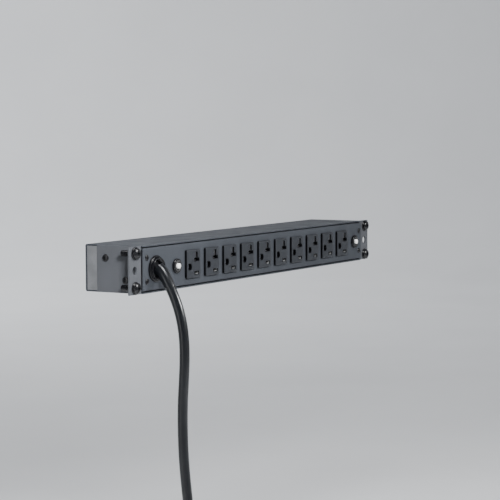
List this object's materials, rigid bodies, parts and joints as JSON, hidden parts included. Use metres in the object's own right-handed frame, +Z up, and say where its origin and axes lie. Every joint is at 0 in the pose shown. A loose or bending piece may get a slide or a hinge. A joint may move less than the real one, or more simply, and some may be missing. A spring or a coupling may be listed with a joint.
{
  "type": "rack power strip",
  "caption": "Horizontal rack-mounted power strip with front sockets, two push-to-reset breakers, screw-on ears and a corded supply lead.",
  "frame": {"origin": "centre of the four rack screws, on the plane where the ears' back faces meet the rack rails", "axes": "+X along the strip to the right as seen from the front, +Y into the rack, +Z up"},
  "size_m": [0.4826, 0.1464, 0.3416],
  "materials": {
    "powder_coat": "fine-textured satin powder coat",
    "plated_steel": "zinc plated",
    "socket_plastic": "moulded, slightly satin",
    "black_steel": "black oxide, satin",
    "black_nylon": "glossy moulded nylon",
    "cord_vinyl": "glossy flexible PVC",
    "breaker_plastic": "moulded phenolic",
    "button_plastic": "white, smooth",
    "brass": "satin",
    "lead_black": "PVC insulation",
    "lead_white": "PVC insulation",
    "lead_green": "PVC insulation",
    "hook_tape": "hook-and-loop tape"
  },
  "bodies": {
    "strip": {"bracket_screw_left_front": "black_steel", "bracket_screw_left_rear": "black_steel", "bracket_screw_right_front": "black_steel", "bracket_screw_right_rear": "black_steel", "breaker_body_left": "breaker_plastic", "breaker_body_right": "breaker_plastic", "bushing_nut": "black_nylon", "coil_tie": "hook_tape", "cord_bushing": "black_nylon", "cord_coil": "cord_vinyl", "cup_washer_left_lower": "black_nylon", "cup_washer_left_upper": "black_nylon", "cup_washer_right_lower": "black_nylon", "cup_washer_right_upper": "black_nylon", "ear_bracket_left": "powder_coat", "ear_bracket_right": "powder_coat", "earth_bar": "brass", "earth_lead": "lead_green", "earth_stud": "brass", "end_plate_left": "plated_steel", "end_plate_right": "plated_steel", "face_screw_left_lower": "black_steel", "face_screw_left_upper": "black_steel", "face_screw_right_lower": "black_steel", "face_screw_right_upper": "black_steel", "front_panel": "powder_coat", "housing": "powder_coat", "line_bar_left": "brass", "line_bar_right": "brass", "line_lead_left": "lead_black", "line_lead_right": "lead_black", "load_lead_left": "lead_black", "load_lead_right": "lead_black", "neutral_bar": "brass", "neutral_lead": "lead_white", "plug_blade_line": "brass", "plug_blade_neutral": "brass", "plug_body": "cord_vinyl", "plug_pin_earth": "brass", "power_cord": "cord_vinyl", "rack_screw_left_lower": "black_steel", "rack_screw_left_upper": "black_steel", "rack_screw_right_lower": "black_steel", "rack_screw_right_upper": "black_steel", "ring_nut_left": "black_steel", "ring_nut_right": "black_steel", "socket_01": "socket_plastic", "socket_02": "socket_plastic", "socket_03": "socket_plastic", "socket_04": "socket_plastic", "socket_05": "socket_plastic", "socket_06": "socket_plastic", "socket_07": "socket_plastic", "socket_08": "socket_plastic", "socket_09": "socket_plastic", "socket_10": "socket_plastic", "strain_relief": "cord_vinyl"},
    "left_button": {"reset_button_left": "button_plastic"},
    "right_button": {"reset_button_right": "button_plastic"}
  },
  "joints": [
    {"name": "left_reset", "type": "slide", "parent": "strip", "child": "left_button", "axis": [0, -1, 0], "range_m": [0, 0.0035]},
    {"name": "right_reset", "type": "slide", "parent": "strip", "child": "right_button", "axis": [0, -1, 0], "range_m": [0, 0.0035]}
  ]
}
